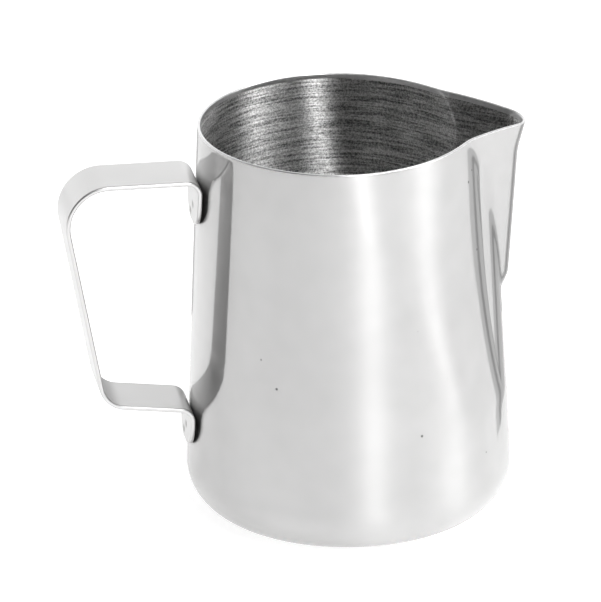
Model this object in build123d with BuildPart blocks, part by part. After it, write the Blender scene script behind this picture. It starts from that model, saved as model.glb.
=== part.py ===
"""Milk frothing pitcher: a drawn stainless jug with a pressed V spout and a welded strap handle.

Millimetres. +Z is up, the jug stands on Z = 0 and its axis is the Z axis.
The spout points along +X and the handle stands out along -X.
"""

import os
from math import atan2, cos, degrees, radians, sin, sqrt

from build123d import *

# Jug body
HEIGHT = 108.0
RIM_RADIUS = 39.3
FOOT_RADIUS = 44.4  # where the straight wall line meets Z = 0
CORNER_RADIUS = 12.0
SHEET = 0.8

# The spout panel: the part of the wall between two long creases
CREASE_ANGLE = 24.0
CREASE_FOOT = 33.5
CREASE_FULL = 92.0
CREASE_DEPTH = 3.7
CREASE_SHARPNESS = 2.6
CREASE_BLEND = 1.5

# The shoulders: the wall beside the creases, drawn in towards the spout
SHOULDER_FLAT = 35.0
SHOULDER_END_LOW = 55.0
SHOULDER_END_RIM = 105.0

# The beak: the V that stands proud of the panel
BEAK_FOOT = 56.5
BEAK_FOOT_ROUND = 7.0
BEAK_REACH_FOOT = 1.7
BEAK_REACH_TIP = 7.9
BEAK_FLARE = 0.21  # how much further out it leans over its top, per mm of height
BEAK_FLARE_START = 98.0
BEAK_FLARE_BLEND = 2.0
BEAK_NOSE_RADIUS = 8.1
BEAK_SIDE_NORMAL = 51.0
BEAK_BLEND = 2.0

# The rim falls towards the tip of the beak
RIM_FALL_START = 26.0
RIM_FALL = 2.3
RIM_FALL_END = 48.0

# Strap handle, drawn along the middle of the strap's thickness
STRAP_WIDTH = 17.0
STRAP_THICKNESS = 1.2
STRAP_EDGE_ROUND = 0.45
STRAP_STANDOFF = 0.05
UPPER_TAB_FOOT = 83.2
UPPER_ARM_AT_WALL = 96.9
UPPER_CORNER = (78.0, 97.6)
UPPER_CORNER_RADIUS = 11.0
LOWER_CORNER = (67.3, 35.3)
LOWER_CORNER_RADIUS = 7.2
LOWER_ARM_AT_WALL = 31.9
LOWER_TAB_FOOT = 20.2
TAB_BEND_RADIUS = 3.4
TAB_END_ROUND = 7.5
SHORT_EDGE = 1.01 * STRAP_THICKNESS  # the edges across the thickness are shorter than this

# Spot welds
WELD_RADIUS = 1.3
WELD_OFFSETS = ((-0.3, 4.9), (2.9, 2.2))  # across the tab from its middle, and up from its foot
WELD_INTO_WALL = 0.5
WELD_INTO_TAB = 0.4
DIMPLE_DEPTH = 0.2
DIMPLE_BALL_RADIUS = 5.0

# Plan sections through the wall above the corner
SECTION_STEP_ANGLE = 2.5
SLOPE_STEP_ANGLE = 0.05
SECTION_COUNT = 28
SECTION_FOOT = CREASE_FOOT - 2 * CREASE_BLEND
SECTION_TOP = HEIGHT + 4.0
INNER_SKIN_OVERRUN = 3.0  # how far the hollow runs up past the outer skin
CUT_OVERRUN = 5.0  # how far the cut above the rim runs up past the outer skin
CUT_MARGIN = 10.0  # how far it runs out past the body


def smooth_step(x):
    """0 below 0, 1 above 1, and level at both ends."""
    x = min(max(x, 0.0), 1.0)
    return x * x * (3 - 2 * x)


def soft_ramp(x, blend):
    """0 for negative x, x for positive x, with a round knee."""
    if x <= -blend:
        return 0.0
    if x >= blend:
        return x
    return (x + blend) ** 2 / (4 * blend)


def soft_max(a, b, blend):
    """The greater of two lengths, with the corner between them rounded."""
    overlap = max(1 - abs(a - b) / blend, 0.0) if blend > 0 else 0.0
    return max(a, b) + overlap * overlap * blend / 4


def wall_radius(z):
    """The plain tapered wall."""
    return FOOT_RADIUS - (FOOT_RADIUS - RIM_RADIUS) * z / HEIGHT


def crease_depth(z):
    """How far the creases and shoulders lie inside the plain wall."""
    rise = soft_ramp(z - CREASE_FOOT, CREASE_BLEND) / (CREASE_FULL - CREASE_FOOT)
    return CREASE_DEPTH * (1 - (1 - min(rise, 1.0)) ** CREASE_SHARPNESS)


def crease_share(angle, z):
    """The share of that depth at an angle from the spout."""
    if angle < SHOULDER_FLAT:
        return (angle / CREASE_ANGLE) ** 2 if angle < CREASE_ANGLE else 1.0
    height_share = (z - CREASE_FOOT) / (HEIGHT - CREASE_FOOT)
    end = SHOULDER_END_LOW + (SHOULDER_END_RIM - SHOULDER_END_LOW) * max(height_share, 0.0)
    return smooth_step((end - angle) / (end - SHOULDER_FLAT))


def beak_share(z):
    """How far the beak has come out of the panel: 0 below its foot, 1 above the round of its foot."""
    return smooth_step((z - BEAK_FOOT) / BEAK_FOOT_ROUND)


def beak_radius(angle, z):
    """Plan radius of the V beak: a round nose between two straight sides."""
    slope = (BEAK_REACH_TIP - BEAK_REACH_FOOT) / (HEIGHT - BEAK_FOOT)
    reach = (BEAK_REACH_FOOT + slope * (z - BEAK_FOOT)) * beak_share(z)
    reach += BEAK_FLARE * soft_ramp(z - BEAK_FLARE_START, BEAK_FLARE_BLEND)
    nose_centre = wall_radius(z) + reach - BEAK_NOSE_RADIUS
    normal = radians(BEAK_SIDE_NORMAL)
    turn = radians(angle)
    nose_end = atan2(BEAK_NOSE_RADIUS * sin(normal), nose_centre + BEAK_NOSE_RADIUS * cos(normal))
    if turn < nose_end:
        return nose_centre * cos(turn) + sqrt(BEAK_NOSE_RADIUS**2 - (nose_centre * sin(turn)) ** 2)
    side_distance = nose_centre * cos(normal) + BEAK_NOSE_RADIUS
    return side_distance / cos(min(turn, normal) - normal)


def plan_radius(angle, z):
    """Outside radius of the body at an angle in degrees from the spout."""
    angle = abs(angle)
    wall = wall_radius(z) - crease_depth(z) * crease_share(angle, z)
    if z <= BEAK_FOOT:
        return wall
    return soft_max(wall, beak_radius(angle, z), BEAK_BLEND * beak_share(z))


def plan_point(angle, z, inset):
    """A point of the plan outline, moved inwards square to the outline."""
    step = SLOPE_STEP_ANGLE
    turn = radians(angle)
    radius = plan_radius(angle, z)
    growth = (plan_radius(angle + step, z) - plan_radius(angle - step, z)) / radians(2 * step)
    tilt = atan2(growth, radius)
    x = radius * cos(turn) - inset * cos(turn - tilt)
    y = radius * sin(turn) - inset * sin(turn - tilt)
    return (x, y)


def outline(z, inset):
    """Plan points all the way round a skin of the wall, starting behind the handle."""
    steps = round(360 / SECTION_STEP_ANGLE)
    return [plan_point(180 - 360 * i / steps, z, inset) for i in range(steps)]


def lofted_skin(inset, top):
    """Everything inside a skin of the wall, from the plain foot up to a height."""
    with BuildPart() as filled:
        for level in range(SECTION_COUNT + 1):
            z = SECTION_FOOT + (top - SECTION_FOOT) * level / SECTION_COUNT
            with BuildSketch(Plane.XY.offset(z)):
                with BuildLine():
                    Spline(outline(z, inset), periodic=True)
                make_face()
        loft()
    return filled.part


# The body's foot: floor, corner and the plain start of the wall
taper = degrees(atan2(FOOT_RADIUS - RIM_RADIUS, HEIGHT))
corner_centre = (wall_radius(CORNER_RADIUS) - CORNER_RADIUS, CORNER_RADIUS)
foot_wall = wall_radius(SECTION_FOOT)
with BuildPart() as body_foot:
    with BuildSketch(Plane.XZ):
        with BuildLine():
            outer_corner = CenterArc(corner_centre, CORNER_RADIUS, -90, 90 + taper)
            inner_corner = CenterArc(corner_centre, CORNER_RADIUS - SHEET, -90, 90 + taper)
            wall_top = [(foot_wall, SECTION_FOOT), (foot_wall - SHEET, SECTION_FOOT)]
            Polyline(outer_corner @ 1, *wall_top, inner_corner @ 1)
            Polyline(outer_corner @ 0, (0, 0), (0, SHEET), inner_corner @ 0)
        make_face()
    revolve(axis=Axis.Z)

# Everything above the rim, which is level round the back and falls a little over the spout
with BuildPart() as above_rim:
    with BuildSketch(Plane.XZ):
        with BuildLine():
            back = -FOOT_RADIUS - CUT_MARGIN
            front = RIM_FALL_END + CUT_MARGIN
            top = SECTION_TOP + CUT_OVERRUN
            level = Line((back, HEIGHT), (RIM_FALL_START, HEIGHT))
            fall = TangentArc(level @ 1, (RIM_FALL_END, HEIGHT - RIM_FALL), tangent=Vector(1, 0))
            Polyline(fall @ 1, (front, HEIGHT - RIM_FALL), (front, top), (back, top), (back, HEIGHT))
        make_face()
    extrude(amount=FOOT_RADIUS + CUT_MARGIN, both=True)

# The wall: the outer skin cut down to the rim, hollowed by the inner skin
with BuildPart() as body_wall:
    add(lofted_skin(0, SECTION_TOP))
    add(above_rim.part, mode=Mode.SUBTRACT)
    add(lofted_skin(SHEET, SECTION_TOP + INNER_SKIN_OVERRUN), mode=Mode.SUBTRACT)


# The handle: one strip bent to a loop, with a tab at each end against the wall
def strap_at_wall(z):
    """The middle of the strap where it lies along the wall."""
    return (-wall_radius(z) - STRAP_STANDOFF - STRAP_THICKNESS / 2, z)


with BuildPart() as handle_strap:
    with BuildSketch(Plane.XZ):
        with BuildLine():
            FilletPolyline(
                strap_at_wall(UPPER_TAB_FOOT),
                strap_at_wall(UPPER_ARM_AT_WALL),
                (-UPPER_CORNER[0], UPPER_CORNER[1]),
                (-LOWER_CORNER[0], LOWER_CORNER[1]),
                strap_at_wall(LOWER_ARM_AT_WALL),
                strap_at_wall(LOWER_TAB_FOOT),
                radius=[TAB_BEND_RADIUS, UPPER_CORNER_RADIUS, LOWER_CORNER_RADIUS, TAB_BEND_RADIUS],
            )
        trace(line_width=STRAP_THICKNESS)
    extrude(amount=STRAP_WIDTH / 2, both=True)
    tab_corners = handle_strap.edges().filter_by(lambda edge: edge.length < SHORT_EDGE)
    fillet(tab_corners, TAB_END_ROUND)
    side_edges = handle_strap.edges().filter_by(Axis.Y, reverse=True)
    fillet(side_edges.filter_by(lambda edge: edge.length > SHORT_EDGE), STRAP_EDGE_ROUND)


# The spot welds: two nuggets in each tab, each fused half into the tab and half into the wall
def weld_places(tab_foot):
    """Where the nuggets of one tab cross the wall's outer face."""
    return [(-wall_radius(tab_foot + up), across, tab_foot + up) for across, up in WELD_OFFSETS]


weld_length = WELD_INTO_WALL + STRAP_STANDOFF + WELD_INTO_TAB
weld_middle = (WELD_INTO_WALL - STRAP_STANDOFF - WELD_INTO_TAB) / 2
with BuildPart() as upper_spot_welds:
    with Locations(weld_places(UPPER_TAB_FOOT)):
        with Locations((weld_middle, 0, 0)):
            Cylinder(WELD_RADIUS, weld_length, rotation=(0, 90, 0))
with BuildPart() as lower_spot_welds:
    with Locations(weld_places(LOWER_TAB_FOOT)):
        with Locations((weld_middle, 0, 0)):
            Cylinder(WELD_RADIUS, weld_length, rotation=(0, 90, 0))

# The electrodes leave a round dimple in the tab over each nugget
dimple_centre = -STRAP_STANDOFF - STRAP_THICKNESS - DIMPLE_BALL_RADIUS + DIMPLE_DEPTH
with handle_strap:
    add(upper_spot_welds.part, mode=Mode.SUBTRACT)
    add(lower_spot_welds.part, mode=Mode.SUBTRACT)
    with Locations(weld_places(UPPER_TAB_FOOT) + weld_places(LOWER_TAB_FOOT)):
        with Locations((dimple_centre, 0, 0)):
            Sphere(DIMPLE_BALL_RADIUS, rotation=(0, 90, 0), mode=Mode.SUBTRACT)

# The drawn jug: wall and foot in one, with the half of each nugget that lies in the wall
with BuildPart() as jug_body:
    add(body_wall.part)
    add(body_foot.part)
    add(upper_spot_welds.part, mode=Mode.SUBTRACT)
    add(lower_spot_welds.part, mode=Mode.SUBTRACT)

os.makedirs("parts", exist_ok=True)
jug_body.part.label = "jug_body"
export_step(jug_body.part, "parts/jug_body.step")
handle_strap.part.label = "handle_strap"
export_step(handle_strap.part, "parts/handle_strap.step")
upper_spot_welds.part.label = "upper_spot_welds"
export_step(upper_spot_welds.part, "parts/upper_spot_welds.step")
lower_spot_welds.part.label = "lower_spot_welds"
export_step(lower_spot_welds.part, "parts/lower_spot_welds.step")
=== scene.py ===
from math import atan2, cos, hypot, pi, radians, sin, sqrt, tan

import bpy
from mathutils import Matrix, Vector


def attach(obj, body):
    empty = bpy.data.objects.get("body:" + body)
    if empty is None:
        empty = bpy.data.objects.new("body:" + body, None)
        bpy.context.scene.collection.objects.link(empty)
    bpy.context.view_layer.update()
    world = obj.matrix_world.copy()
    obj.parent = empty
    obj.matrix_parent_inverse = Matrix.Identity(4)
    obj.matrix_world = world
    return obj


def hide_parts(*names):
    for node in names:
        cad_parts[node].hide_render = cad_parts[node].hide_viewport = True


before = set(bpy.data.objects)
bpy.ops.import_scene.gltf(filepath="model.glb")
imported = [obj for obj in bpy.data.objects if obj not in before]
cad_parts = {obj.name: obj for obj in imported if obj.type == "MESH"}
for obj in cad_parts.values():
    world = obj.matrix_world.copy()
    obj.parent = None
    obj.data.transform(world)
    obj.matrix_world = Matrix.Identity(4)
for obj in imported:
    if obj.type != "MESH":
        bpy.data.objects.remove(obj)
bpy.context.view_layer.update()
MM = 0.001

# ------------------------------------------------------------------ the jug's shape, in millimetres
HEIGHT = 108.0
RIM_RADIUS = 39.3
FOOT_RADIUS = 44.4
CORNER_RADIUS = 12.0
SHEET = 0.8
LIP_ROUND = 0.36
CREASE_ANGLE = 24.0
CREASE_FOOT = 33.5
CREASE_FULL = 92.0
CREASE_DEPTH = 3.7
CREASE_SHARPNESS = 2.6
CREASE_BLEND = 1.5
SHOULDER_FLAT = 35.0
SHOULDER_END_LOW = 55.0
SHOULDER_END_RIM = 105.0
BEAK_FOOT = 56.5
BEAK_FOOT_ROUND = 7.0
BEAK_REACH_FOOT = 1.7
BEAK_REACH_TIP = 7.9
BEAK_FLARE = 0.21
BEAK_FLARE_START = 98.0
BEAK_FLARE_BLEND = 2.0
BEAK_NOSE_RADIUS = 8.1
BEAK_SIDE_NORMAL = 51.0
BEAK_BLEND = 0.9
RIM_FALL_START = 26.0
RIM_FALL = 2.3
RIM_FALL_END = 48.0
TAPER = atan2(FOOT_RADIUS - RIM_RADIUS, HEIGHT)
SLOPE_STEP_ANGLE = 0.05
RIM_ROUNDS = 3  # the rim's height and its place depend on each other, and settle in a few rounds


def smooth_step(x):
    """0 below 0, 1 above 1, and level at both ends."""
    x = min(max(x, 0.0), 1.0)
    return x * x * (3 - 2 * x)


def soft_ramp(x, blend):
    """0 for negative x, x for positive x, with a round knee."""
    if x <= -blend:
        return 0.0
    if x >= blend:
        return x
    return (x + blend) ** 2 / (4 * blend)


def soft_max(a, b, blend):
    """The greater of two lengths, with the corner between them rounded."""
    overlap = max(1 - abs(a - b) / blend, 0.0) if blend > 0 else 0.0
    return max(a, b) + overlap * overlap * blend / 4


def wall_radius(z):
    """The plain tapered wall."""
    return FOOT_RADIUS - (FOOT_RADIUS - RIM_RADIUS) * z / HEIGHT


def crease_depth(z):
    """How far the creases and shoulders lie inside the plain wall."""
    rise = soft_ramp(z - CREASE_FOOT, CREASE_BLEND) / (CREASE_FULL - CREASE_FOOT)
    return CREASE_DEPTH * (1 - (1 - min(rise, 1.0)) ** CREASE_SHARPNESS)


def crease_share(angle, z):
    """The share of that depth at an angle from the spout."""
    if angle < CREASE_ANGLE:
        return (angle / CREASE_ANGLE) ** 2
    if angle < SHOULDER_FLAT:
        return 1.0
    rise = max((z - CREASE_FOOT) / (HEIGHT - CREASE_FOOT), 0.0)
    end = SHOULDER_END_LOW + (SHOULDER_END_RIM - SHOULDER_END_LOW) * rise
    return smooth_step((end - angle) / (end - SHOULDER_FLAT))


def beak_share(z):
    """How far the beak has come out: 0 below its foot, 1 above the round of its foot."""
    return smooth_step((z - BEAK_FOOT) / BEAK_FOOT_ROUND)


def beak_radius(angle, z):
    """Plan radius of the V beak: a round nose between two straight sides."""
    slope = (BEAK_REACH_TIP - BEAK_REACH_FOOT) / (HEIGHT - BEAK_FOOT)
    reach = (BEAK_REACH_FOOT + slope * (z - BEAK_FOOT)) * beak_share(z)
    reach += BEAK_FLARE * soft_ramp(z - BEAK_FLARE_START, BEAK_FLARE_BLEND)
    nose_centre = wall_radius(z) + reach - BEAK_NOSE_RADIUS
    normal = radians(BEAK_SIDE_NORMAL)
    turn = radians(angle)
    nose_end = atan2(BEAK_NOSE_RADIUS * sin(normal), nose_centre + BEAK_NOSE_RADIUS * cos(normal))
    if turn < nose_end:
        return nose_centre * cos(turn) + sqrt(BEAK_NOSE_RADIUS**2 - (nose_centre * sin(turn)) ** 2)
    return (nose_centre * cos(normal) + BEAK_NOSE_RADIUS) / cos(min(turn, normal) - normal)


def plan_radius(angle, z):
    """Outside radius of the cup at an angle in degrees from the spout."""
    angle = abs(angle)
    wall = wall_radius(z) - crease_depth(z) * crease_share(angle, z)
    if z <= BEAK_FOOT:
        return wall
    return soft_max(wall, beak_radius(angle, z), BEAK_BLEND * beak_share(z))


def plan_point(angle, z, inset):
    """A point of the wall's outline at a height, moved inwards square to the outline."""
    step = SLOPE_STEP_ANGLE
    turn = radians(angle)
    radius = plan_radius(angle, z)
    growth = (plan_radius(angle + step, z) - plan_radius(angle - step, z)) / radians(2 * step)
    tilt = atan2(growth, radius)
    return radius * cos(turn) - inset * cos(turn - tilt), radius * sin(turn) - inset * sin(turn - tilt)


def rim_height(angle):
    """The rim is level round the back and falls a little over the spout."""
    fall_radius = (RIM_FALL_END - RIM_FALL_START) ** 2 / (2 * RIM_FALL)
    z = HEIGHT
    for _ in range(RIM_ROUNDS):
        x = plan_point(angle, z, SHEET / 2)[0]
        z = HEIGHT - max(x - RIM_FALL_START, 0.0) ** 2 / (2 * fall_radius)
    return z


def mesh_object(name, verts, faces, slots=None, smooth=True):
    """A new object from points in millimetres, with a material slot for each face if it has several."""
    mesh = bpy.data.meshes.new(name)
    mesh.from_pydata([(x * MM, y * MM, z * MM) for x, y, z in verts], [], faces)
    mesh.validate()
    mesh.update()
    if smooth:
        mesh.shade_smooth()
    else:
        mesh.shade_flat()
    obj = bpy.data.objects.new(name, mesh)
    bpy.context.scene.collection.objects.link(obj)
    if slots:
        mesh.polygons.foreach_set("material_index", slots)
    return obj


def grid_faces(rows, columns, first=0):
    """Quads between consecutive closed rings of one grid."""
    quads = []
    for r in range(rows - 1):
        a, b = first + r * columns, first + (r + 1) * columns
        for c in range(columns):
            d = (c + 1) % columns
            quads.append((a + c, a + d, b + d, b + c))
    return quads


# ------------------------------------------------------------------ the jug, one skin out and in
FINE_ANGLE = 0.6  # degrees between the columns over the spout and its creases
FINE_END = 45.0
COARSE_ANGLE = 1.35  # degrees between the columns round the rest
WALL_ROWS = 88
CORNER_STEPS = 14
FLOOR_STEPS = 8
LIP_STEPS = 5  # on each side of the lip
OUTSIDE, RIM, INSIDE = range(3)  # the cup's material slots


def column_angles():
    """Plan angles of the cup's columns, all the way round: closest together at the spout."""
    fine = [FINE_ANGLE * i for i in range(round(FINE_END / FINE_ANGLE))]
    coarse = [FINE_END + COARSE_ANGLE * i for i in range(round((180 - FINE_END) / COARSE_ANGLE))]
    return fine + coarse + [180.0] + [-a for a in reversed(fine[1:] + coarse)]


def build_jug():
    """The whole sheet as one closed skin: up the outside, over the lip and down the inside."""
    angles = column_angles()
    rims = [rim_height(a) for a in angles]
    verts, slots = [], []
    rows = 0
    centre_r = wall_radius(CORNER_RADIUS) - CORNER_RADIUS

    def ring(radius, z):
        nonlocal rows
        verts.extend((radius * cos(radians(a)), radius * sin(radians(a)), z) for a in angles)
        rows += 1

    def floor_and_corner(inset):
        made = [(centre_r * i / FLOOR_STEPS, inset) for i in range(1, FLOOR_STEPS + 1)]
        reach = CORNER_RADIUS - inset
        for i in range(1, CORNER_STEPS + 1):
            turn = -pi / 2 + (pi / 2 + TAPER) * i / CORNER_STEPS
            made.append((centre_r + reach * cos(turn), CORNER_RADIUS + reach * sin(turn)))
        return made

    def wall(inset, row):
        """One ring of the wall: row 0 is just above the corner, and the last is below the lip."""
        nonlocal rows
        start = CORNER_RADIUS + (CORNER_RADIUS - inset) * sin(TAPER)
        for a, rim in zip(angles, rims):
            z = start + (rim - LIP_ROUND - start) * row / WALL_ROWS
            verts.append((*plan_point(a, z, inset), z))
        rows += 1

    for radius, z in floor_and_corner(0):
        ring(radius, z)
    for row in range(1, WALL_ROWS + 1):
        wall(0, row)
    outer_rows = rows
    for i in range(1, 2 * LIP_STEPS + 1):
        turn = pi / 2 * (i / LIP_STEPS if i <= LIP_STEPS else (i - LIP_STEPS) / LIP_STEPS)
        if i <= LIP_STEPS:
            inset, drop = LIP_ROUND * (1 - cos(turn)), LIP_ROUND * (1 - sin(turn))
        else:
            inset, drop = SHEET - LIP_ROUND * (1 - sin(turn)), LIP_ROUND * (1 - cos(turn))
        for a, rim in zip(angles, rims):
            verts.append((*plan_point(a, rim - drop, inset), rim - drop))
        rows += 1
    lip_rows = rows
    for row in range(WALL_ROWS - 1, 0, -1):
        wall(SHEET, row)
    for radius, z in reversed(floor_and_corner(SHEET)):
        ring(radius, z)

    columns = len(angles)
    faces = grid_faces(rows, columns)
    for r in range(rows - 1):
        kind = OUTSIDE if r < outer_rows - 1 else RIM if r < lip_rows else INSIDE
        slots.extend([kind] * columns)
    for z, first in ((0.0, 0), (SHEET, (rows - 1) * columns)):
        verts.append((0, 0, z))
        hub = len(verts) - 1
        for c in range(columns):
            d = (c + 1) % columns
            faces.append((hub, first + d, first + c) if first == 0 else (hub, first + c, first + d))
            slots.append(OUTSIDE if first == 0 else INSIDE)
    return mesh_object("jug_cup", verts, faces, slots)


jug = build_jug()

# ------------------------------------------------------------------ the handle, one bent strip
STRAP_WIDTH = 17.0
STRAP_THICKNESS = 1.2
STRAP_EDGE_ROUND = 0.45
STRAP_STANDOFF = 0.05
UPPER_TAB_FOOT = 83.2
UPPER_ARM_AT_WALL = 96.9
UPPER_CORNER = (78.0, 97.6)
UPPER_CORNER_RADIUS = 11.0
LOWER_CORNER = (67.3, 35.3)
LOWER_CORNER_RADIUS = 7.2
LOWER_ARM_AT_WALL = 31.9
LOWER_TAB_FOOT = 20.2
TAB_BEND_RADIUS = 3.4
TAB_END_ROUND = 7.5
WELD_OFFSETS = ((-0.3, 4.9), (2.9, 2.2))
DIMPLE_DEPTH = 0.2
DIMPLE_BALL_RADIUS = 5.0
DIMPLE_REACH = 1.8  # no dimple is wider than this from its middle
DIMPLE_SKIN = 0.7  # only points this near to the outer face are pressed in
DIMPLE_BLEND = 0.08
TAB_END_STEPS = 26
TAB_STEP = 0.3
STRAIGHT_STEP = 1.6
BEND_STEP = 0.5
BEND_STEPS_LEAST = 8
STRAIGHT_STEPS_LEAST = 2
ROUND_STEPS = 4


def strap_at_wall(z):
    """The middle of the strap where it lies along the wall."""
    return (-wall_radius(z) - STRAP_STANDOFF - STRAP_THICKNESS / 2, z)


def tab_distances(run):
    """Distances from a tab's foot: closest together where its end is rounded."""
    made = [TAB_END_ROUND * (1 - cos(pi / 2 * k / TAB_END_STEPS)) for k in range(TAB_END_STEPS + 1)]
    rest = max(round((run - TAB_END_ROUND) / TAB_STEP), 1)
    return made + [TAB_END_ROUND + (run - TAB_END_ROUND) * k / rest for k in range(1, rest + 1)]


def strap_path():
    """Stations along the strap's middle: (x, z, tangent x, tangent z, distance from the start)."""
    points = [
        strap_at_wall(UPPER_TAB_FOOT),
        strap_at_wall(UPPER_ARM_AT_WALL),
        (-UPPER_CORNER[0], UPPER_CORNER[1]),
        (-LOWER_CORNER[0], LOWER_CORNER[1]),
        strap_at_wall(LOWER_ARM_AT_WALL),
        strap_at_wall(LOWER_TAB_FOOT),
    ]
    radii = [TAB_BEND_RADIUS, UPPER_CORNER_RADIUS, LOWER_CORNER_RADIUS, TAB_BEND_RADIUS]
    points = [Vector(p) for p in points]
    path = []
    start = points[0]
    for i, radius in enumerate(radii):
        before, corner, after = points[i], points[i + 1], points[i + 2]
        inward, outward = (corner - before).normalized(), (after - corner).normalized()
        turn = inward.angle_signed(outward)
        setback = radius * tan(abs(turn) / 2)
        arc_start = corner - inward * setback
        run = (arc_start - start).length
        steps = max(round(run / STRAIGHT_STEP), STRAIGHT_STEPS_LEAST)
        along = tab_distances(run)[:-1] if i == 0 else [run * k / steps for k in range(steps)]
        path += [(start + inward * d, inward) for d in along]
        side = Vector((-inward.y, inward.x)) * (-1 if turn > 0 else 1)
        centre = arc_start + side * radius
        steps = max(round(abs(turn) * radius / BEND_STEP), BEND_STEPS_LEAST)
        for k in range(steps):
            spin = Matrix.Rotation(-turn * k / steps, 2)
            path.append((centre + spin @ (arc_start - centre), spin @ inward))
        start = corner + outward * setback
    outward = (points[-1] - start).normalized()
    run = (points[-1] - start).length
    path += [(start + outward * (run - d), outward) for d in reversed(tab_distances(run))]
    stations, travelled = [], 0.0
    for i, (p, t) in enumerate(path):
        if i:
            travelled += (p - path[i - 1][0]).length
        stations.append((p.x, p.y, t.x, t.y, travelled))
    return stations


def strap_section(half_width, half_thickness, across=44, round_steps=ROUND_STEPS):
    """A loop of (across, through) points: a flat strip with rounded edges."""
    edge = min(STRAP_EDGE_ROUND, half_thickness)
    flat = half_width - edge
    loop = [(-flat + 2 * flat * i / across, half_thickness) for i in range(across + 1)]
    for i in range(1, round_steps):
        turn = pi / 2 * i / round_steps
        loop.append((flat + edge * sin(turn), half_thickness - edge + edge * cos(turn)))
    loop.append((half_width, half_thickness - edge))
    loop.append((half_width, edge - half_thickness))
    for i in range(1, round_steps):
        turn = pi / 2 * i / round_steps
        loop.append((flat + edge * cos(turn), edge - half_thickness - edge * sin(turn)))
    loop += [(flat - 2 * flat * i / across, -half_thickness) for i in range(across + 1)]
    mirrored = [(-x, y) for x, y in loop[across + 1 : across + 2 * round_steps + 1]]
    return loop + mirrored[::-1]


def tab_half_width(from_end):
    """Half the strap's width near an end, where its two corners are rounded."""
    if from_end >= TAB_END_ROUND:
        return STRAP_WIDTH / 2
    rest = TAB_END_ROUND - max(from_end, 0.0)
    return STRAP_WIDTH / 2 - TAB_END_ROUND + sqrt(TAB_END_ROUND**2 - rest**2)


def dimpled(point, outward_x):
    """Presses the welding electrode's dimples into the outer face of the tabs."""
    x, y, z = point
    for foot in (UPPER_TAB_FOOT, LOWER_TAB_FOOT):
        for across, rise in WELD_OFFSETS:
            height = foot + rise
            face = -wall_radius(height) - STRAP_STANDOFF - STRAP_THICKNESS
            ball = face - DIMPLE_BALL_RADIUS + DIMPLE_DEPTH
            off = hypot(y - across, z - height)
            if outward_x < -0.5 and off < DIMPLE_REACH and abs(x - face) < DIMPLE_SKIN:
                reach = ball + sqrt(DIMPLE_BALL_RADIUS**2 - off**2)
                x += soft_ramp(reach - x, DIMPLE_BLEND)
    return x, y, z


def build_strap():
    """The strip as one closed skin, its section carried along the path."""
    stations = strap_path()
    length = stations[-1][4]
    rings = []
    for index, (x, z, tx, tz, s) in enumerate(stations):
        from_end = min(s, length - s)
        if from_end < STRAP_EDGE_ROUND and 0 < index < len(stations) - 1:
            continue
        rings.append((x, z, tx, tz, from_end, STRAP_THICKNESS / 2))
    first, last = rings[0], rings[-1]
    head, tail = [], []
    for i in range(ROUND_STEPS):
        turn = pi / 2 * i / ROUND_STEPS
        inset = STRAP_EDGE_ROUND * (1 - sin(turn))
        back = STRAP_EDGE_ROUND * (1 - cos(turn))
        half = STRAP_THICKNESS / 2 - inset
        head.append((first[0] + first[2] * back, first[1] + first[3] * back, *first[2:4], back, half))
        tail.append((last[0] - last[2] * back, last[1] - last[3] * back, *last[2:4], back, half))
    rings = head + rings[1:-1] + tail[::-1]
    verts = []
    for x, z, tx, tz, from_end, half in rings:
        nx, nz = -tz, tx
        for across, through in strap_section(tab_half_width(from_end), half):
            point = (x + nx * through, across, z + nz * through)
            verts.append(dimpled(point, nx if through > 0 else -nx))
    columns = len(verts) // len(rings)
    faces = grid_faces(len(rings), columns)
    faces = [f[::-1] for f in faces]
    for first, turned in ((0, False), ((len(rings) - 1) * columns, True)):
        cap = [first + c for c in range(columns)]
        faces.append(tuple(cap if turned else cap[::-1])[::-1])
    return mesh_object("handle_strip", verts, faces)


strap = build_strap()


# ------------------------------------------------------------------ materials
def new_material(name):
    """A material with an empty node tree."""
    material = bpy.data.materials.new(name)
    material.use_nodes = True
    tree = material.node_tree
    tree.nodes.clear()
    return material, tree


def node(tree, kind, inputs=None, **settings):
    """A shader node, its inputs linked or set, and its own settings."""
    made = tree.nodes.new(kind)
    for key, value in settings.items():
        setattr(made, key, value)
    for key, value in (inputs or {}).items():
        if isinstance(value, bpy.types.NodeSocket):
            tree.links.new(value, made.inputs[key])
        else:
            made.inputs[key].default_value = value
    return made


def maths(tree, operation, a, b=0.0, clamp=False):
    return node(tree, "ShaderNodeMath", {0: a, 1: b}, operation=operation, use_clamp=clamp).outputs[0]


def remap(tree, value, low, high, to_low=0.0, to_high=1.0, smooth=False):
    kind = "SMOOTHSTEP" if smooth else "LINEAR"
    inputs = {"Value": value, "From Min": low, "From Max": high, "To Min": to_low, "To Max": to_high}
    return node(tree, "ShaderNodeMapRange", inputs, interpolation_type=kind).outputs[0]


def noise(tree, vector, scale, detail=2.0, rough=0.5, stretch=(1, 1, 1)):
    placed = node(tree, "ShaderNodeMapping", {"Vector": vector, "Scale": stretch})
    inputs = {"Vector": placed.outputs[0], "Scale": scale, "Detail": detail, "Roughness": rough}
    return node(tree, "ShaderNodeTexNoise", inputs).outputs["Fac"]


def mix_colour(tree, share, a, b):
    made = node(tree, "ShaderNodeMix", data_type="RGBA")
    for socket, value in ((0, share), (6, a), (7, b)):
        if isinstance(value, bpy.types.NodeSocket):
            tree.links.new(value, made.inputs[socket])
        else:
            made.inputs[socket].default_value = value
    return made.outputs[2]


def grey(value, warm=0.0):
    """A grey, or with a little warmth a yellower one."""
    return (value * (1 + warm), value, value * (1 - warm), 1.0)


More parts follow.
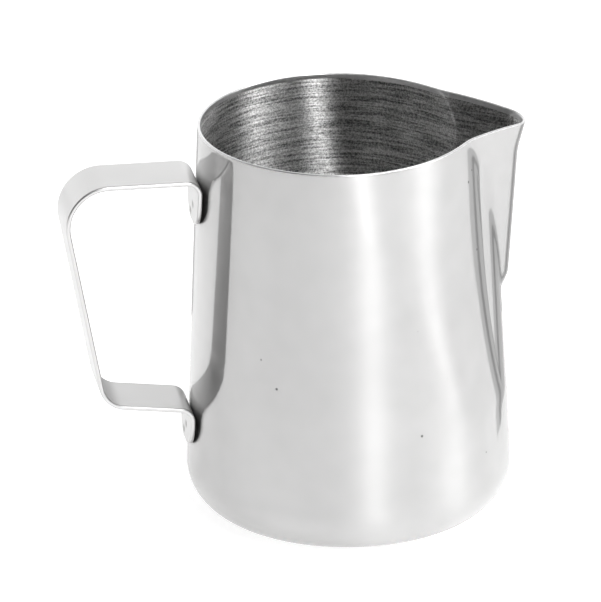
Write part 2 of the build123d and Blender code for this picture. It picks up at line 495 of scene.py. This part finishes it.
def bump(tree, height, distance, strength=1.0, normal=None):
    inputs = {"Height": height, "Distance": distance, "Strength": strength}
    if normal is not None:
        inputs["Normal"] = normal
    return node(tree, "ShaderNodeBump", inputs).outputs[0]


def metal(tree, colour, rough, normal, anisotropic=0.0, tangent=None):
    """A metal surface. Anisotropy smears its highlights along the height of the jug."""
    inputs = {"Base Color": colour, "Metallic": 1.0, "Roughness": rough, "Normal": normal}
    inputs["Anisotropic"] = anisotropic
    inputs["Anisotropic Rotation"] = 0.25 if anisotropic else 0.0
    if tangent is not None:
        inputs["Tangent"] = tangent
    return node(tree, "ShaderNodeBsdfPrincipled", inputs).outputs[0]


def place(tree):
    """The position on the object, in metres, in the part's own frame."""
    return node(tree, "ShaderNodeTexCoord").outputs["Object"]


def polished_steel():
    """Mirror polish with a soft vertical smear, cloudy patches and small pits."""
    material, tree = new_material("mirror_polished_steel")
    at = place(tree)
    around = node(tree, "ShaderNodeTangent", direction_type="RADIAL", axis="Z").outputs[0]
    waves = noise(tree, at, 34.0, 1.0, 0.4)
    lines = noise(tree, at, 60.0, 3.0, 0.6, (1, 1, 60))
    pits = node(tree, "ShaderNodeTexVoronoi", {"Vector": at, "Scale": 140.0, "Randomness": 1.0})
    thinned = noise(tree, at, 61.0, 1.0, 0.5)
    near = remap(tree, pits.outputs["Distance"], 0.036, 0.062, 1.0, 0.0)
    pit = maths(tree, "MULTIPLY", near, maths(tree, "GREATER_THAN", thinned, 0.53))
    normal = bump(tree, waves, 0.00012, 0.35)
    normal = bump(tree, lines, 0.000002, 0.5, normal)
    normal = bump(tree, maths(tree, "MULTIPLY", pit, -1.0), 0.00008, 0.8, normal)
    haze = noise(tree, at, 22.0, 3.0, 0.6)
    colour = mix_colour(tree, remap(tree, haze, 0.3, 0.7), grey(0.525, 0.004), grey(0.60, 0.004))
    colour = mix_colour(tree, pit, colour, grey(0.16))
    rough = remap(tree, haze, 0.3, 0.7, 0.045, 0.075)
    sharp = metal(tree, colour, rough, normal)
    broad = metal(tree, colour, 0.45, normal, 0.9, around)
    share = remap(tree, haze, 0.3, 0.7, 0.36, 0.46)
    both = node(tree, "ShaderNodeMixShader", {0: share, 1: sharp, 2: broad}).outputs[0]
    node(tree, "ShaderNodeOutputMaterial", {"Surface": both})
    return material


def rim_steel():
    """The cut and rounded edge of the sheet."""
    material, tree = new_material("rim_edge_steel")
    at = place(tree)
    grain = noise(tree, at, 900.0, 2.0, 0.6)
    normal = bump(tree, grain, 0.000002, 0.2)
    colour = mix_colour(tree, remap(tree, grain, 0.3, 0.7), grey(0.74), grey(0.84))
    surface = metal(tree, colour, remap(tree, grain, 0.3, 0.7, 0.30, 0.42), normal)
    node(tree, "ShaderNodeOutputMaterial", {"Surface": surface})
    return material


def satin_steel():
    """Satin inside with turning marks round the axis."""
    material, tree = new_material("satin_turned_steel")
    at = place(tree)
    around = node(tree, "ShaderNodeTangent", direction_type="RADIAL", axis="Z").outputs[0]
    fine = noise(tree, at, 75.0, 4.0, 0.7, (1, 1, 20))
    coarse = noise(tree, at, 60.0, 3.0, 0.65, (1, 1, 9))
    grain = noise(tree, at, 1900.0, 2.0, 0.8)
    normal = bump(tree, coarse, 0.00016, 0.6)
    normal = bump(tree, fine, 0.00003, 0.7, normal)
    normal = bump(tree, grain, 0.00002, 0.7, normal)
    streak = remap(tree, fine, 0.41, 0.59)
    speck = remap(tree, grain, 0.43, 0.57)
    tone = maths(tree, "ADD", maths(tree, "MULTIPLY", streak, 0.55), maths(tree, "MULTIPLY", speck, 0.45))
    colour = mix_colour(tree, tone, grey(0.13, 0.006), grey(0.90, 0.006))
    surface = metal(tree, colour, remap(tree, coarse, 0.3, 0.7, 0.42, 0.50), normal, 1.0, around)
    node(tree, "ShaderNodeOutputMaterial", {"Surface": surface})
    return material


def strap_steel():
    """Soft polish, darker in the welding dimples."""
    material, tree = new_material("strap_polished_steel")
    at = place(tree)
    grain = noise(tree, at, 1100.0, 3.0, 0.6, (1, 0.15, 1))
    smudge = noise(tree, at, 60.0, 2.0, 0.5)
    normal = bump(tree, grain, 0.000006, 0.5)
    dark = 0.0
    for foot in (UPPER_TAB_FOOT, LOWER_TAB_FOOT):
        for across, rise in WELD_OFFSETS:
            height = foot + rise
            spot = (-(wall_radius(height) + STRAP_THICKNESS) * MM, across * MM, height * MM)
            off = node(tree, "ShaderNodeVectorMath", {0: at, 1: spot}, operation="DISTANCE")
            ring = remap(tree, off.outputs["Value"], 0.0003, 0.0016, 0.85, 0.0, smooth=True)
            dark = maths(tree, "ADD", ring, dark, clamp=True)
    colour = mix_colour(tree, smudge, grey(0.60, 0.004), grey(0.65, 0.004))
    colour = mix_colour(tree, dark, colour, grey(0.12, 0.05))
    surface = metal(tree, colour, remap(tree, smudge, 0.3, 0.7, 0.30, 0.38), normal)
    node(tree, "ShaderNodeOutputMaterial", {"Surface": surface})
    return material


def weld_steel():
    """Dull, rough weld nuggets."""
    material, tree = new_material("weld_nugget_steel")
    at = place(tree)
    grain = noise(tree, at, 1400.0, 3.0, 0.7)
    normal = bump(tree, grain, 0.00003, 0.6)
    colour = mix_colour(tree, grain, grey(0.22, 0.05), grey(0.5, 0.02))
    surface = metal(tree, colour, remap(tree, grain, 0.3, 0.7, 0.35, 0.6), normal)
    node(tree, "ShaderNodeOutputMaterial", {"Surface": surface})
    return material


for material in (polished_steel(), rim_steel(), satin_steel()):
    jug.data.materials.append(material)
strap.data.materials.append(strap_steel())
nugget = weld_steel()
for name in ("upper_spot_welds", "lower_spot_welds"):
    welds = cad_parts[name]
    welds.data.materials.clear()
    welds.data.materials.append(nugget)

for piece, replaced, slot in ((jug, "jug_body", "polished_steel"), (strap, "handle_strap", "strap_steel")):
    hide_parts(replaced)
    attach(piece, "root")

# ------------------------------------------------------------------ studio
CAMERA = Vector((-0.27063, -1.46020, 0.66550))
TARGET = Vector((-0.01231, 0.00228, 0.05694))
ROLL = radians(-0.7226)
LENS = 358.03
SENSOR_WIDTH = 36.0
FRONT = Vector((CAMERA.x, CAMERA.y, 0)).normalized()  # level, from the object towards the camera
SIDE = Vector((-FRONT.y, FRONT.x, 0))  # level, to the right as the camera sees it
forward = (TARGET - CAMERA).normalized()
right = forward.cross(Vector((0, 0, 1))).normalized()
up = right.cross(forward)
right, up = cos(ROLL) * right + sin(ROLL) * up, cos(ROLL) * up - sin(ROLL) * right
lens = bpy.data.cameras.new("camera")
lens.lens = LENS
lens.sensor_width = SENSOR_WIDTH
lens.clip_end = 20.0
camera = bpy.data.objects.new("camera", lens)
camera.matrix_world = Matrix(
    (
        (right.x, up.x, -forward.x, CAMERA.x),
        (right.y, up.y, -forward.y, CAMERA.y),
        (right.z, up.z, -forward.z, CAMERA.z),
        (0, 0, 0, 1),
    )
)
bpy.context.scene.collection.objects.link(camera)
bpy.context.scene.camera = camera

TABLE_RINGS = (60, 400, 3000)
TABLE_SIDES = 96
TABLE_DROP = 0.00005  # metres below the base, so that the two faces stay apart


def level_ring(radius):
    """Points round a level circle."""
    turns = [2 * pi * i / TABLE_SIDES for i in range(TABLE_SIDES)]
    return [(radius * cos(turn), radius * sin(turn), 0.0) for turn in turns]


floor_verts = [point for radius in TABLE_RINGS for point in level_ring(radius)]
floor_faces = grid_faces(len(TABLE_RINGS), TABLE_SIDES) + [tuple(range(TABLE_SIDES))]
floor = mesh_object("floor", floor_verts, floor_faces, smooth=False)
floor.location.z = -TABLE_DROP
floor_material, floor_tree = new_material("white_table")
grain = noise(floor_tree, place(floor_tree), 400.0, 2.0, 0.5)
paper = mix_colour(floor_tree, grain, grey(0.60), grey(0.63))
lit_table = {"Base Color": paper, "Roughness": 0.7, "Emission Color": grey(1.0), "Emission Strength": 0.72}
white = node(floor_tree, "ShaderNodeBsdfPrincipled", lit_table).outputs[0]
node(floor_tree, "ShaderNodeOutputMaterial", {"Surface": white})
floor.data.materials.append(floor_material)


def beside(across, behind, z):
    """A point in millimetres by its place across and behind the object, as the camera sees it."""
    return (*(SIDE * across - FRONT * behind).to_2d(), z)


def flag(name, start, end, height, tone):
    """An upright grey card that nothing but the polish can see, from one foot (across, behind) to another."""
    corners = [beside(*start, 0), beside(*end, 0), beside(*end, height), beside(*start, height)]
    card = mesh_object(name, corners, [(0, 1, 2, 3)], smooth=False)
    material, tree = new_material(name + "_card")
    glow = node(tree, "ShaderNodeEmission", {"Color": grey(tone)}).outputs[0]
    node(tree, "ShaderNodeOutputMaterial", {"Surface": glow})
    card.data.materials.append(material)
    for rays in ("camera", "diffuse", "shadow", "transmission", "volume_scatter"):
        setattr(card, "visible_" + rays, False)


flag("right_flag", (84, 24), (84, 110), 96, 0.76)
flag("line_flag", (83, 34), (83, 44), 96, 0.30)
flag("rear_flag", (-84, 130), (84, 130), 72, 0.55)


LIGHTS_AIM = Vector((0, 0, 0.06))


def light(name, azimuth, elevation, distance, size, power):
    """A soft box, placed by its azimuth to the right of the camera and its height above the floor."""
    azimuth, elevation = radians(azimuth), radians(elevation)
    towards = (FRONT * cos(azimuth) + SIDE * sin(azimuth)) * cos(elevation) + Vector((0, 0, sin(elevation)))
    data = bpy.data.lights.new(name, "AREA")
    data.shape = "RECTANGLE"
    data.size, data.size_y = size
    data.energy = power
    lamp = bpy.data.objects.new(name, data)
    lamp.location = LIGHTS_AIM + towards * distance
    lamp.rotation_mode = "QUATERNION"
    lamp.rotation_quaternion = towards.to_track_quat("Z", "Y")
    bpy.context.scene.collection.objects.link(lamp)


light("key_strip", 18, 26, 1.2, (0.24, 1.0), 4.6)
light("high_key", 25, 58, 1.2, (0.36, 0.4), 4.6)
light("side_strip", 80, 26, 1.2, (0.36, 1.0), 5.8)
light("high_side", 86, 56, 1.2, (0.60, 0.4), 4.0)
light("left_strip", -72, 30, 1.3, (0.16, 0.8), 0.35)
light("far_left_strip", -108, 30, 1.3, (0.4, 0.8), 0.9)
light("top_box", 0, 89, 1.6, (1.8, 1.8), 4.0)

world = bpy.data.worlds.new("studio")
bpy.context.scene.world = world
world.use_nodes = True
sky = world.node_tree
sky.nodes.clear()
towards = node(sky, "ShaderNodeTexCoord").outputs["Generated"]
rear = node(sky, "ShaderNodeVectorMath", {0: towards, 1: (-CAMERA).normalized()}, operation="DOT_PRODUCT")
glow = remap(sky, rear.outputs["Value"], -0.1, 0.75, 0.04, 1.32, smooth=True)
background = node(sky, "ShaderNodeBackground", {"Color": grey(1.0), "Strength": glow})
node(sky, "ShaderNodeOutputWorld", {"Surface": background.outputs[0]})
bpy.context.scene.view_settings.view_transform = "Standard"
